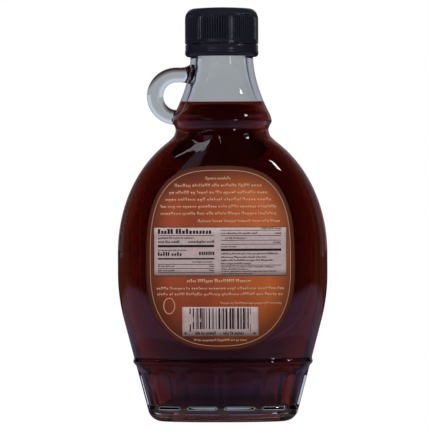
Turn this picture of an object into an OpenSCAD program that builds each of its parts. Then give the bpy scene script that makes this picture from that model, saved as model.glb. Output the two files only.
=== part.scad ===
// Maple syrup jug: an oval glass flask with a small ring handle at the neck, filled with syrup,
// closed by a ribbed screw cap with a tamper band, and labelled on both broad faces.
// +Z is up, +X runs across the broad face, the ring handle is on the -X side, millimetres.

/* [Body] */
// Width of the body at its widest
body_w = 87; // [84:1:90]
// Depth of the body at its thickest
body_d = 44.2; // [43:0.2:48]
// Squareness of the oval plan, where 2 is a plain ellipse
body_squareness = 2.35; // [2.2:0.05:2.6]
// Thickness of the glass wall
wall = 3; // [2.4:0.1:3.2]
// Thickness of the glass under the syrup
floor_t = 5.4; // [4.5:0.1:6]

/* [Foot and flutes] */
// Width across the top of the foot
foot_w = 62.5; // [61:0.2:64]
// Depth across the top of the foot
foot_d = 36.6; // [35:0.2:38]
// Height of the plain foot below the flutes
foot_h = 5; // [4.6:0.1:5.6]
// Radius of the rounded heel
heel_r = 4.4; // [3:0.2:4.6]
// Rise of the hollow under the base
push_up = 1.6; // [1:0.1:2.2]
// Number of arched flutes round the base
flute_count = 12; // [12]
// Depth of a flute
flute_depth = 0.9; // [0.5:0.1:1.1]
// Height of the crest of the flutes' arches
flute_top = 22.6; // [21:0.2:22.6]
// Height of the ridge above the flutes
ridge_z = 24.6; // [24.4:0.1:25]
// How far the ridge stands out
ridge_out = 0.5; // [0.3:0.1:0.7]

/* [Neck] */
// Diameter of the bead at the foot of the neck
bead_d = 41.4; // [41:0.1:42]
// Diameter of the groove under the bead
groove_d = 38.6; // [38:0.1:39]
// Diameter of the neck just under the cap
neck_d = 26; // [25.6:0.2:26.2]
// Diameter of the threaded finish, without its thread
finish_d = 25; // [24.6:0.2:25.2]
// Diameter over the thread
thread_d = 27.4; // [27:0.1:27.6]

/* [Handle] */
// Reach of the ring's centre line sideways from its own middle
ring_reach = 8.85; // [8.4:0.05:9]
// Rise of the ring's centre line above and below its own middle
ring_rise = 8.8; // [8.2:0.1:9]
// Thickness of the ring at its outermost place
ring_t = 6.8; // [6.2:0.1:7]

/* [Cap] */
// Outer diameter of the cap
cap_d = 30.5; // [30.3:0.1:31]
// Height of the cap above its tamper band
cap_h = 15.1; // [14.6:0.1:15.2]
// Number of grip ribs
rib_count = 90; // [72:6:96]
// Height of the tamper band
band_h = 5; // [4.8:0.1:5.4]

/* [Labels] */
// Width of a label, measured flat across
label_w = 61.4; // [58:0.2:62]
// Rise of a label above its widest place
label_up = 41.5; // [38:0.5:42]
// Drop of a label below its widest place
label_down = 34.3; // [32:0.1:36]
// Squareness of the upper half of the labels' oval, where 2 is a plain ellipse
label_top_squareness = 2.95; // [2.4:0.05:3]
// Squareness of the lower half of the labels' oval
label_foot_squareness = 2.45; // [2.2:0.05:3]
// Thickness of a label
label_t = 0.15; // [0.1:0.01:0.2]

/* [Syrup] */
// Height of the syrup's surface above the base
fill_z = 131.6; // [128:0.1:133]

/* [Hidden] */

// Heights of the outline's turning points
belly_z = 61;
shoulder_z = 70;
join_z = 118.2;
groove_z = 120.9;
bead_z = 124.8;
neck_top_z = 151;
rim_z = 169.2;
ring_z = 134.8;
ring_x = -18.9;
band_gap = 0.35;
cap_z = neck_top_z + band_h + band_gap;

// Shape of the outline
taper = 14.7;
side_taper = 5;
side_z = 78;
shoulder_rise = 53.4;
shoulder_blend = 4;
flare_power = 1.8;
flare_fullness = 1.06;
bead_round = 1.2;
ridge_half = 2.2;
flute_bevel_h = 1.9;
arch_drop = 3.4;

// Small clearances
skin_gap = 0.3;
syrup_gap = 0.04;
overlap = 1.2;

// Stations round each flute, in degrees of its share of the plan, from one rib to the next
flute_share = 360 / flute_count;
rib_half = 1.7;
rib_foot = 4.4;
flute_stations = [rib_half, rib_foot, 11.5, flute_share - 11.5, flute_share - rib_foot, flute_share - rib_half];
outer_angles = [for (i = [0:flute_count - 1]) for (s = flute_stations) i * flute_share + s];
inner_count = 32;
inner_angles = [for (i = [0:inner_count - 1]) i * 360 / inner_count];

$fn = 96;

// ---- Formulas ----------------------------------------------------------------------------

function clamp01(t) = min(1, max(0, t));
function smooth(lo, hi, v) = let (t = clamp01((v - lo) / (hi - lo))) t * t * (3 - 2 * t);
function smooth_max(a, b, k) = max(a, b) + pow(max(k - abs(a - b), 0), 2) / (4 * k);
function smooth_min(a, b, k) = -smooth_max(-a, -b, k);

// Straight taper up from the foot, then an arc that ends upright at half width w_belly
function taper_arc_radius(w_foot, angle, w_belly) =
    (w_foot + (belly_z - foot_h) * tan(angle) - w_belly) / (sin(angle) * tan(angle) - 1 + cos(angle));
function lower_outline(z, w_foot, angle, w_belly) =
    let (r = taper_arc_radius(w_foot, angle, w_belly))
    z > belly_z - r * sin(angle)
        ? w_belly - r + sqrt(r * r - pow(belly_z - z, 2))
        : w_foot + (z - foot_h) * tan(angle);

// Quarter ellipse from half width w at height z0
function quarter(z, w, z0, rise) = w * sqrt(max(0, 1 - pow((z - z0) / rise, 2)));

function ridge(z) = ridge_out * pow(cos(90 * clamp01(abs(z - ridge_z) / ridge_half)), 2);
function heel(z) = z < heel_r ? heel_r - sqrt(heel_r * heel_r - pow(heel_r - z, 2)) : 0;

function half_width(z) =
    z <= belly_z ? lower_outline(z, foot_w / 2, taper, body_w / 2) + ridge(z) - heel(z)
    : z <= shoulder_z ? body_w / 2
    : smooth_max(quarter(z, body_w / 2, shoulder_z, shoulder_rise), groove_d / 2, shoulder_blend);

join_r = half_width(join_z);
side_rise = (join_z - side_z) / sqrt(1 - pow(2 * join_r / body_d, 2));

function half_depth(z) =
    z <= belly_z ? lower_outline(z, foot_d / 2, side_taper, body_d / 2) + ridge(z) - heel(z)
    : z <= side_z ? body_d / 2
    : quarter(z, body_d / 2, side_z, side_rise);

function squareness(z) = 2 + (body_squareness - 2) * (1 - smooth(92, join_z, z));

// A point of the oval plan: phi is 0 at the middle of the face towards -Y and 90 on the +X side
function plan_point(phi, a, b, n) =
    let (s = sin(phi), c = cos(phi))
    [a * s, -sign(c) * b * pow(max(0, 1 - pow(abs(s), n)), 1 / n)];

// How deep the flutes go at a place on the wall, from 0 on a rib to 1 on a flute's floor
function flute_mask(phi, z) =
    let (
        u = (phi % flute_share) / flute_share * 2 - 1,
        across = 1 - smooth(1 - 2 * rib_foot / flute_share, 1 - 2 * rib_half / flute_share, abs(u)),
        crest = flute_top - arch_drop * (1 - sqrt(1 - min(1, u * u)))
    )
    across * smooth(foot_h, foot_h + flute_bevel_h, z) * (1 - smooth(crest - flute_bevel_h, crest, z));

// Outline of the neck above the join: groove, bead and the flare up to the cap
function flare(z) =
    let (c = (bead_d - neck_d) / 2 / pow(neck_top_z - bead_z, flare_power) * flare_fullness)
    neck_d / 2 + c * pow(max(0, neck_top_z - z), flare_power);
function neck_radius(z) =
    z < groove_z ? groove_d / 2 + (join_r - groove_d / 2) * pow((groove_z - z) / (groove_z - join_z), 2)
    : z < bead_z ? groove_d / 2 + (bead_d - groove_d) / 2 * (1 - cos(180 * (z - groove_z) / (bead_z - groove_z))) / 2
    : smooth_min(bead_d / 2 + 0.05, flare(z), bead_round);
function neck_bore(z) = min(neck_radius(z), join_r) - wall;

neck_heights = concat(
    [for (i = [0:4]) join_z + (groove_z - join_z) * i / 4],
    [for (i = [1:6]) groove_z + (bead_z - groove_z) * i / 6],
    [for (i = [1:4]) bead_z + 2.4 * i / 4],
    [for (i = [1:12]) bead_z + 2.4 + (neck_top_z - bead_z - 2.4) * i / 12]
);

// ---- Lofts ---------------------------------------------------------------------------------

outer_heights = concat(
    [for (i = [0:4]) heel_r * (1 - cos(22.5 * i))],
    [foot_h, foot_h + flute_bevel_h, 12, 16.4, 18.4, 20.2, flute_top],
    [for (i = [-1:1]) ridge_z + ridge_half * i * 0.75],
    [27.5, 33, 38.5, 44, 50, 56, belly_z, shoulder_z],
    [for (i = [1:12]) shoulder_z + (join_z - shoulder_z) * sin(90 * i / 12)]
);
inner_corner = 7;
inner_heights = concat(
    [for (i = [0:4]) floor_t + inner_corner * (1 - cos(22.5 * i))],
    [20, 30, 40, 50, belly_z, shoulder_z],
    [for (i = [1:9]) shoulder_z + (join_z - shoulder_z) * sin(10 * i)]
);

function inner_inset(z) =
    wall + (z < floor_t + inner_corner
        ? inner_corner - sqrt(max(0, inner_corner * inner_corner - pow(floor_t + inner_corner - z, 2)))
        : 0);

// Ring of points at height z. Flutes and ridge mark only the outside
function outer_ring(z) =
    [for (phi = outer_angles)
        let (
            p = plan_point(phi, half_width(z), half_depth(z), squareness(z)),
            cut = flute_depth * flute_mask(phi, z) / norm(p)
        )
        [p[0] * (1 - cut), p[1] * (1 - cut), z]];
function inner_ring(z, inset) =
    [for (phi = inner_angles)
        let (
            a = half_width(z) - ridge(z) - inner_inset(z) - inset,
            b = half_depth(z) - ridge(z) - inner_inset(z) - inset,
            p = plan_point(phi, a, b, squareness(z))
        )
        [p[0], p[1], z]];

// Closed solid through rings of equal count, with a flat face at each end
module loft(rings) {
    n = len(rings[0]);
    m = len(rings);
    walls = [for (j = [0:m - 2]) for (i = [0:n - 1])
        let (k = (i + 1) % n)
        each [
            [j * n + i, (j + 1) * n + i, (j + 1) * n + k],
            [j * n + i, (j + 1) * n + k, j * n + k]
        ]];
    bottom = [for (i = [0:n - 1]) i];
    top = [for (i = [n - 1:-1:0]) (m - 1) * n + i];
    polyhedron(points = [for (r = rings) each r], faces = concat(walls, [bottom, top]), convexity = 4);
}

// Solid of revolution with its radius given at each height by a list of [radius, height]
module turned(outline) {
    rotate_extrude()
        polygon(concat([[0, outline[0][1]]], outline, [[0, outline[len(outline) - 1][1]]]));
}

// ---- Bottle --------------------------------------------------------------------------------

// The neck starts a little below the join, buried in the body, so that the two fuse cleanly
join_inset = 0.03;

module neck_outside() {
    turned(concat(
        [[join_r - join_inset, join_z - overlap], [join_r - join_inset, join_z + 0.01]],
        [for (z = neck_heights) if (z > join_z) [neck_radius(z), z]],
        [[finish_d / 2, neck_top_z + 1.5], [finish_d / 2, rim_z - 0.8], [finish_d / 2 - 0.8, rim_z]]
    ));
}

// Collar that the tamper band snaps under
module locking_collar() {
    collar_z = neck_top_z + 3.6;
    turned([
        [finish_d / 2 - 0.5, collar_z - 1.2],
        [thread_d / 2 - 0.3, collar_z],
        [thread_d / 2 - 0.3, collar_z + 0.8],
        [finish_d / 2 - 0.5, collar_z + 1.6]
    ]);
}

// One and a quarter turns of round-topped thread, swept as a closed strip
module thread() {
    steps = 30;
    turns = 1.25;
    pitch = 3.2;
    start_z = neck_top_z + 9;
    half = 0.9;
    sections = [for (i = [0:steps])
        let (
            a = 360 * turns * i / steps,
            run_out = sin(90 * clamp01(min(i, steps - i) / 4)),
            root = finish_d / 2 - 0.4,
            crest = root + 0.1 + (thread_d / 2 - root - 0.1) * run_out,
            z = start_z + pitch * turns * i / steps
        )
        [for (q = [[root, -half], [crest, -half * 0.35], [crest, half * 0.35], [root, half]])
            [q[0] * cos(a), q[0] * sin(a), z + q[1]]]];
    loft_strip(sections);
}

// Closed strip through sections of four points
module loft_strip(sections) {
    n = len(sections[0]);
    m = len(sections);
    sides = [for (j = [0:m - 2]) for (i = [0:n - 1])
        let (k = (i + 1) % n)
        each [
            [j * n + i, j * n + k, (j + 1) * n + k],
            [j * n + i, (j + 1) * n + k, (j + 1) * n + i]
        ]];
    first = [for (i = [n - 1:-1:0]) i];
    last = [for (i = [0:n - 1]) (m - 1) * n + i];
    polyhedron(points = [for (s = sections) each s], faces = concat(sides, [first, last]), convexity = 6);
}

// Ring handle: a round rod that leaves the neck level, curls down and runs into the bead.
// Its centre line at turn q, where 90 is the top of the ring and 180 its outermost place
function ring_place(q) = [ring_x + ring_reach * cos(q), ring_z + ring_rise * sin(q)];
function ring_heading(q) = let (h = [-ring_reach * sin(q), ring_rise * cos(q)]) h / norm(h);
function ring_thickness(q) = ring_t * (1 - 0.09 * pow(sin(q), 2));

module ring_handle() {
    sides = 12;
    root = 7;
    root_flare = 1.1;
    arc = [for (q = [90:10:260]) [ring_place(q), ring_heading(q), ring_thickness(q)]];
    level = [for (s = [1, 0.6])
        [ring_place(90) + [root * s, 0], [-1, 0], ring_thickness(90) * (1 + (root_flare - 1) * s)]];
    loft_strip([for (s = concat(level, arc))
        [for (i = [0:sides - 1])
            let (
                a = 360 * i / sides,
                out = s[2] / 2 * cos(a),
                side = [-s[1][1], s[1][0]]
            )
            [s[0][0] + side[0] * out, s[2] / 2 * sin(a), s[0][1] + side[1] * out]]]);
}

// Inside of the glass: an oval chamber with rounded lower corners, and the bore of the neck
module cavity() {
    loft([for (z = inner_heights) inner_ring(z, 0)]);
    turned(concat(
        [[join_r - wall - join_inset, join_z - overlap]],
        [for (z = neck_heights) [neck_bore(z) - (z == join_z ? join_inset : 0), z]],
        [[neck_d / 2 - wall, rim_z + 1]]
    ));
}

// Shallow oval hollow under the base, which leaves a flat ring to stand on
module base_hollow() {
    ring_w = 3.4;
    ring_at = heel_r + ring_w;
    steps = [[0, -1], [0, 0], [1.6, push_up * 0.7], [6, push_up]];
    loft([for (s = steps)
        [for (phi = inner_angles)
            let (p = plan_point(phi, half_width(heel_r) - ring_at - s[0],
                                half_depth(heel_r) - ring_at - s[0], body_squareness))
            [p[0], p[1], s[1]]]]);
}

module bottle() {
    color([0.8, 0.85, 0.86, 0.4])
        difference() {
            union() {
                loft([for (z = outer_heights) outer_ring(z)]);
                neck_outside();
                locking_collar();
                thread();
                ring_handle();
            }
            cavity();
            base_hollow();
        }
}

// ---- Contents ------------------------------------------------------------------------------

module syrup() {
    color([0.22, 0.05, 0.01])
        union() {
            loft([for (z = inner_heights) inner_ring(max(z, floor_t), syrup_gap)]);
            turned(concat(
                [[join_r - wall - join_inset - syrup_gap, join_z - overlap]],
                [for (z = neck_heights) if (z < fill_z)
                    [neck_bore(z) - syrup_gap - (z == join_z ? join_inset : 0), z]],
                [[neck_bore(fill_z) - syrup_gap, fill_z]]
            ));
        }
}

// ---- Closure -------------------------------------------------------------------------------

cap_edge_w = 3.6;
cap_edge_h = 4.5;
cap_crown = 0.5;
cap_wall = 1.2;
cap_ring_h = 1.5;
rib_depth = 0.35;

// Star outline of the grip ribs
module rib_outline() {
    polygon([for (i = [0:2 * rib_count - 1])
        let (r = cap_d / 2 - (i % 2 == 0 ? 0 : rib_depth))
        r * [cos(180 * i / rib_count), sin(180 * i / rib_count)]]);
}

// Round-edged crown over straight sides
module cap_outside(shrink) {
    side_top = cap_h - cap_edge_h - cap_crown;
    r = cap_d / 2 - shrink;
    rotate_extrude()
        polygon(concat(
            [[0, 0], [r, 0], [r, side_top]],
            [for (i = [1:6]) [r - cap_edge_w * (1 - cos(15 * i)), side_top + cap_edge_h * sin(15 * i)]],
            [[0, cap_h]]
        ));
}

module cap() {
    color([0.03, 0.03, 0.04])
        translate([0, 0, cap_z])
            difference() {
                union() {
                    intersection() {
                        cap_outside(0);
                        translate([0, 0, cap_ring_h])
                            linear_extrude(cap_h)
                                rib_outline();
                    }
                    cylinder(d = cap_d - rib_depth, h = cap_ring_h + 0.3);
                }
                translate([0, 0, -1])
                    cylinder(r = cap_d / 2 - cap_wall, h = rim_z - cap_z + 1);
            }
}

module tamper_band() {
    bridges = 8;
    outer = cap_d / 2;
    inner = thread_d / 2 + 0.3;
    color([0.03, 0.03, 0.04])
        translate([0, 0, neck_top_z])
            union() {
                rotate_extrude()
                    polygon([
                        [inner, 0.6], [outer - 1.1, 0], [outer - 0.45, 0.35], [outer, 1.6],
                        [outer, band_h * 0.46], [outer - 0.15, band_h * 0.54],
                        [outer - 0.15, band_h - 0.1], [outer - 0.25, band_h], [inner, band_h]
                    ]);
                for (i = [0:bridges - 1])
                    rotate(360 / bridges * (i + 0.5))
                        translate([outer - 1.2, -0.4, band_h - 0.2])
                            cube([0.8, 0.8, band_gap + 0.2]);
            }
}

// ---- Labels --------------------------------------------------------------------------------

label_z = 64.1;
label_rings = 5;
label_points = 28;

// Depth of the wall behind a place on the broad face
function face_depth(x, z) =
    let (n = squareness(z))
    half_depth(z) * pow(max(0, 1 - pow(abs(x) / half_width(z), n)), 1 / n);

// A place on the label's oval at share s of the way out to its edge, a little proud of the glass
function label_point(s, q, lift) =
    let (
        c = cos(q),
        d = sin(q),
        e = 2 / (d > 0 ? label_top_squareness : label_foot_squareness),
        x = s * label_w / 2 * sign(c) * pow(abs(c), e),
        z = label_z + s * (d > 0 ? label_up : label_down) * sign(d) * pow(abs(d), e)
    )
    [x, -face_depth(x, z) - lift, z];

function label_face(lift) = concat(
    [label_point(0, 0, lift)],
    [for (k = [1:label_rings]) for (i = [0:label_points - 1])
        label_point(k / label_rings, 360 * i / label_points, lift)]
);

// Triangles of one face of the label; turn is 1 for the outer face and -1 for the one on the glass
function label_triangles(first, turn) = [
    for (i = [0:label_points - 1])
        let (
            k = (i + 1) % label_points,
            at = function(ring, spot) first + 1 + (ring - 1) * label_points + spot
        )
        each concat(
            [turn > 0 ? [first, at(1, k), at(1, i)] : [first, at(1, i), at(1, k)]],
            [for (r = [1:label_rings - 1]) each (turn > 0
                ? [[at(r, i), at(r, k), at(r + 1, k)], [at(r, i), at(r + 1, k), at(r + 1, i)]]
                : [[at(r, i), at(r + 1, k), at(r, k)], [at(r, i), at(r + 1, i), at(r + 1, k)]])]
        )
];

module label() {
    count = 1 + label_rings * label_points;
    edge = 1 + (label_rings - 1) * label_points;
    rim = [for (i = [0:label_points - 1])
        let (k = (i + 1) % label_points)
        each [
            [edge + i, edge + k, count + edge + k],
            [edge + i, count + edge + k, count + edge + i]
        ]];
    polyhedron(
        points = concat(label_face(skin_gap + label_t), label_face(skin_gap)),
        faces = concat(label_triangles(0, 1), label_triangles(count, -1), rim),
        convexity = 3
    );
}

module label_back() {
    color([0.62, 0.27, 0.12])
        label();
}

module label_front() {
    color([0.62, 0.27, 0.12])
        rotate([0, 0, 180])
            label();
}

// ---- Drawing -------------------------------------------------------------------------------

bottle();
syrup();
cap();
tamper_band();
label_back();
label_front();
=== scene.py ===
import bpy
import math
import random
from mathutils import Matrix, Quaternion, Vector


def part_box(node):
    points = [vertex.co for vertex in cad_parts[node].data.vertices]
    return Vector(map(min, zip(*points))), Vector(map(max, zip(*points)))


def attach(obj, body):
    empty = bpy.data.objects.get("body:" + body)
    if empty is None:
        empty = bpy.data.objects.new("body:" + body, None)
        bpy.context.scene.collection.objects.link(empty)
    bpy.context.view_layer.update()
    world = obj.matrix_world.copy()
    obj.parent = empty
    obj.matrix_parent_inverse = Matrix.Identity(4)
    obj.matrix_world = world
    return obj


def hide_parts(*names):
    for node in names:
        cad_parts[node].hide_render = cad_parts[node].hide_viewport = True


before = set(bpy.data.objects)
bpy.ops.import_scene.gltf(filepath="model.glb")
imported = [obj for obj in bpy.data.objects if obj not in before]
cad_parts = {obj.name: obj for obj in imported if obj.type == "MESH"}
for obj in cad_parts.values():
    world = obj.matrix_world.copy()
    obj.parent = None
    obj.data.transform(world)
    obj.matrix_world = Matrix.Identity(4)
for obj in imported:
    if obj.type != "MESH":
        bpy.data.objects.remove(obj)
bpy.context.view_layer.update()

bl_info = {
    "name": "Maple Syrup Jug",
    "version": (1, 0, 0),
    "blender": (4, 5, 0),
    "location": "View3D > Sidebar > Syrup Jug",
    "description": "Builds an oval glass syrup jug with its ring handle, syrup, screw cap and printed labels",
    "category": "Add Mesh",
}

MM = 0.001
BOTTLE_LOW, BOTTLE_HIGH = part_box("bottle")
SYRUP_LOW, SYRUP_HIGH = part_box("syrup")
CAP_LOW, CAP_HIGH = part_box("cap")
BAND_LOW, BAND_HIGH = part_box("tamper_band")
LABEL_LOW, LABEL_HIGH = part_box("label_back")


# ---- Settings ------------------------------------------------------------------------------


def length(name, description, default):
    """A length in metres, as the panel shows it."""
    return bpy.props.FloatProperty(
        name=name, description=description, default=default, min=0, unit="LENGTH", precision=5
    )


def share(name, description, default):
    """A plain number without a unit."""
    return bpy.props.FloatProperty(name=name, description=description, default=default)


def whole(name, description, default):
    """A count."""
    return bpy.props.IntProperty(name=name, description=description, default=default, min=1)


def linear(red, green, blue):
    """A screen colour from 0 to 255 as the linear colour that the shaders use."""
    return tuple(
        c / 12.92 if c <= 0.04045 else ((c + 0.055) / 1.055) ** 2.4
        for c in (red / 255, green / 255, blue / 255)
    )


def colour(name, description, red, green, blue):
    """A colour, given by its screen values from 0 to 255."""
    return bpy.props.FloatVectorProperty(
        name=name, description=description, subtype="COLOR", size=3, min=0, max=1,
        default=linear(red, green, blue),
    )


class JugFlask(bpy.types.PropertyGroup):
    """Sizes of the glass."""

    width: length("Width", "Width of the body at its widest", BOTTLE_HIGH.x * 2)
    depth: length("Depth", "Depth of the body at its thickest", BOTTLE_HIGH.y * 2)
    rim_height: length("Rim height", "Height of the mouth's rim above the base", BOTTLE_HIGH.z)
    floor_height: length("Floor height", "Height of the inside floor above the base", SYRUP_LOW.z)
    fill_height: length("Fill height", "Height of the syrup's surface above the base", SYRUP_HIGH.z)
    squareness: share("Squareness", "Squareness of the oval plan, where 2 is a plain ellipse", 2.35)
    wall: length("Wall", "Thickness of the glass wall", 3 * MM)
    foot_width: length("Foot width", "Width across the top of the foot", 62.5 * MM)
    foot_depth: length("Foot depth", "Depth across the top of the foot", 36.6 * MM)
    foot_height: length("Foot height", "Height of the plain foot below the flutes", 5 * MM)
    heel_radius: length("Heel radius", "Radius of the rounded heel", 4.4 * MM)
    push_up: length("Push-up", "Rise of the hollow under the base", 1.6 * MM)
    flute_count: whole("Flutes", "Number of arched flutes round the base", 12)
    flute_depth: length("Flute depth", "Depth of a flute", 1.1 * MM)
    flute_top: length("Flute top", "Height of the crest of the flutes' arches", 22.6 * MM)
    ridge_height: length("Ridge height", "Height of the ridge above the flutes", 24.6 * MM)
    ridge_out: length("Ridge", "How far the ridge stands out", 0.8 * MM)
    bead: length("Bead", "Diameter of the bead at the foot of the neck", 41.4 * MM)
    groove: length("Groove", "Diameter of the groove under the bead", 38.6 * MM)
    neck: length("Neck", "Diameter of the neck just under the cap", 26 * MM)
    finish: length("Finish", "Diameter of the glass inside the cap", 25 * MM)
    ring_thickness: length("Ring thickness", "Thickness of the ring handle at its outermost place", 6.8 * MM)


class JugClosure(bpy.types.PropertyGroup):
    """Sizes of the cap and its tamper band."""

    diameter: length("Diameter", "Outer diameter of the cap", CAP_HIGH.x * 2)
    ribs: whole("Ribs", "Number of grip ribs", 90)
    rib_depth: length("Rib depth", "Depth of the grooves between the ribs", 0.35 * MM)


class JugLabel(bpy.types.PropertyGroup):
    """Shape of the labels' oval."""

    width: length("Width", "Width of a label across its widest place", LABEL_HIGH.x - LABEL_LOW.x)
    belt: length("Belt height", "Height of a label's widest place above the base", 64.1 * MM)
    top_squareness: share("Top squareness", "Squareness of the upper half of the oval", 2.95)
    foot_squareness: share("Foot squareness", "Squareness of the lower half of the oval", 2.45)
    lift: length("Lift", "How far a label's face stands off the glass", 0.14 * MM)


class JugColours(bpy.types.PropertyGroup):
    """Colours of the glass, the syrup, the cap and the print."""

    glass: colour("Glass", "Tint of the glass", 216, 222, 230)
    syrup: colour("Syrup", "Colour that light keeps on its way through thin syrup", 205, 112, 0)
    cap: colour("Cap", "Colour of the cap and its band", 38, 40, 51)
    label_light: colour("Label light", "Orange at the label's right side", 216, 110, 46)
    label_deep: colour("Label deep", "Red-brown at the label's left side", 172, 78, 44)
    label_rim: colour("Label rim", "Dark rim of the label", 92, 44, 24)
    print_pale: colour("Pale print", "Pale print on the label", 222, 168, 128)
    panel: colour("Panel", "Pale fields for the facts table and the bars", 206, 180, 172)
    ink: colour("Ink", "Dark print on the pale fields", 40, 26, 26)


# ---- Shape of the glass --------------------------------------------------------------------


def smooth(low, high, value):
    """A soft step from 0 at low to 1 at high."""
    t = min(1.0, max(0.0, (value - low) / (high - low)))
    return t * t * (3 - 2 * t)


def smooth_max(a, b, blend):
    """The larger of two sizes, rounded over where they cross."""
    return max(a, b) + max(blend - abs(a - b), 0) ** 2 / (4 * blend)


class Outline:
    """The flask's half width and half depth at every height, with the turning points of its outline."""

    belly = 61 * MM
    shoulder = 70 * MM
    side = 78 * MM
    join = 118.2 * MM
    groove_at = 120.9 * MM
    bead_at = 124.8 * MM
    neck_top = 151 * MM
    shoulder_rise = 53.4 * MM
    shoulder_blend = 4 * MM
    taper = math.radians(14.7)
    side_taper = math.radians(5)
    flare_power = 1.8
    flare_fullness = 1.06
    ridge_half = 2 * MM
    flute_bevel = 1.9 * MM
    arch_drop = 3.4 * MM
    rib_half = 1.7
    rib_foot = 4.4
    corner = 7 * MM
    round_from = 92 * MM
    bead_blend = 1.2 * MM

    def __init__(self, flask):
        self.f = flask
        self.join_radius = self.half_width(self.join)
        share_left = math.sqrt(1 - (2 * self.join_radius / flask.depth) ** 2)
        self.side_rise = (self.join - self.side) / share_left

    def lower(self, z, at_foot, angle, at_belly):
        """A straight taper up from the foot, then an arc that ends upright at the belly."""
        f = self.f
        rise = self.belly - f.foot_height
        radius = (at_foot + rise * math.tan(angle) - at_belly) / (
            math.sin(angle) * math.tan(angle) - 1 + math.cos(angle)
        )
        if z > self.belly - radius * math.sin(angle):
            return at_belly - radius + math.sqrt(radius**2 - (self.belly - z) ** 2)
        return at_foot + (z - f.foot_height) * math.tan(angle)

    def ridge(self, z):
        away = min(1.0, abs(z - self.f.ridge_height) / self.ridge_half)
        return self.f.ridge_out * math.cos(math.pi / 2 * away) ** 2

    def heel(self, z):
        radius = self.f.heel_radius
        return radius - math.sqrt(radius**2 - (radius - z) ** 2) if z < radius else 0.0

    def half_width(self, z):
        f = self.f
        if z <= self.belly:
            return self.lower(z, f.foot_width / 2, self.taper, f.width / 2)
        if z <= self.shoulder:
            return f.width / 2
        quarter = f.width / 2 * math.sqrt(max(0.0, 1 - ((z - self.shoulder) / self.shoulder_rise) ** 2))
        return smooth_max(quarter, f.groove / 2, self.shoulder_blend)

    def half_depth(self, z):
        f = self.f
        if z <= self.belly:
            return self.lower(z, f.foot_depth / 2, self.side_taper, f.depth / 2)
        if z <= self.side:
            return f.depth / 2
        return f.depth / 2 * math.sqrt(max(0.0, 1 - ((z - self.side) / self.side_rise) ** 2))

    def squareness(self, z):
        return 2 + (self.f.squareness - 2) * (1 - smooth(self.round_from, self.join, z))

    def neck_radius(self, z):
        f = self.f
        groove, bead, neck = f.groove / 2, f.bead / 2, f.neck / 2
        if z < self.groove_at:
            drop = (self.groove_at - z) / (self.groove_at - self.join)
            return groove + (self.join_radius - groove) * drop**2
        if z < self.bead_at:
            turn = math.pi * (z - self.groove_at) / (self.bead_at - self.groove_at)
            return groove + (bead - groove) * (1 - math.cos(turn)) / 2
        reach = (self.neck_top - self.bead_at) / MM
        pull = (bead - neck) / reach**self.flare_power * self.flare_fullness
        flare = neck + pull * (max(0.0, self.neck_top - z) / MM) ** self.flare_power
        return -smooth_max(-bead - 0.05 * MM, -flare, self.bead_blend)

    def bore(self, z):
        return min(self.neck_radius(z), self.join_radius) - self.f.wall

    def outside(self, z):
        """Half width and half depth of the glass, without its flutes."""
        if z >= self.join:
            return self.neck_radius(z), self.neck_radius(z)
        out = self.ridge(z) - self.heel(z)
        return self.half_width(z) + out, self.half_depth(z) + out

    def inside(self, z, inset=0.0):
        """Half width and half depth of the chamber that the syrup fills."""
        if z >= self.join:
            return self.bore(z) - inset, self.bore(z) - inset
        rise = self.f.floor_height + self.corner - z
        round_in = self.corner - math.sqrt(max(0.0, self.corner**2 - rise**2)) if rise > 0 else 0.0
        total = self.f.wall + inset + round_in
        return self.half_width(z) - total, self.half_depth(z) - total

    def flute(self, turn, z):
        """How deep the flutes go at a place, from 0 on a rib to 1 on a flute's floor."""
        pitch = 360 / self.f.flute_count
        u = (turn % pitch) / pitch * 2 - 1
        across = 1 - smooth(1 - 2 * self.rib_foot / pitch, 1 - 2 * self.rib_half / pitch, abs(u))
        crest = self.f.flute_top - self.arch_drop * (1 - math.sqrt(1 - min(1.0, u * u)))
        foot = self.f.foot_height
        up = smooth(foot, foot + self.flute_bevel, z) * (1 - smooth(crest - self.flute_bevel, crest, z))
        return across * up

    def shoulder_heights(self, count):
        """Heights from the shoulder up to the join, closer together towards the join."""
        rise = self.join - self.shoulder
        return [self.shoulder + rise * math.sin(math.radians(t)) for t in steps(0, 90, count)[1:]]

    def face_depth(self, x, z):
        """Depth of the outer wall behind a place on a broad face."""
        a, b = self.outside(z)
        n = self.squareness(z)
        return b * max(0.0, 1 - (abs(x) / a) ** n) ** (1 / n)


def on_oval(turn, a, b, n):
    """A point of the oval plan. Turn 0 is the middle of the face towards -Y and 90 is the +X side."""
    s, c = math.sin(math.radians(turn)), math.cos(math.radians(turn))
    return a * s, -math.copysign(b * max(0.0, 1 - abs(s) ** n) ** (1 / n), c)


def steps(low, high, count):
    """Evenly spaced values from low to high, both included."""
    return [low + (high - low) * i / count for i in range(count + 1)]


# ---- Modelling tools -----------------------------------------------------------------------


def deselect():
    """Leaves edit mode and selects nothing."""
    if bpy.context.object and bpy.context.object.mode != "OBJECT":
        bpy.ops.object.mode_set(mode="OBJECT")
    bpy.ops.object.select_all(action="DESELECT")


def activate(piece):
    deselect()
    piece.select_set(True)
    bpy.context.view_layer.objects.active = piece


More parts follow.
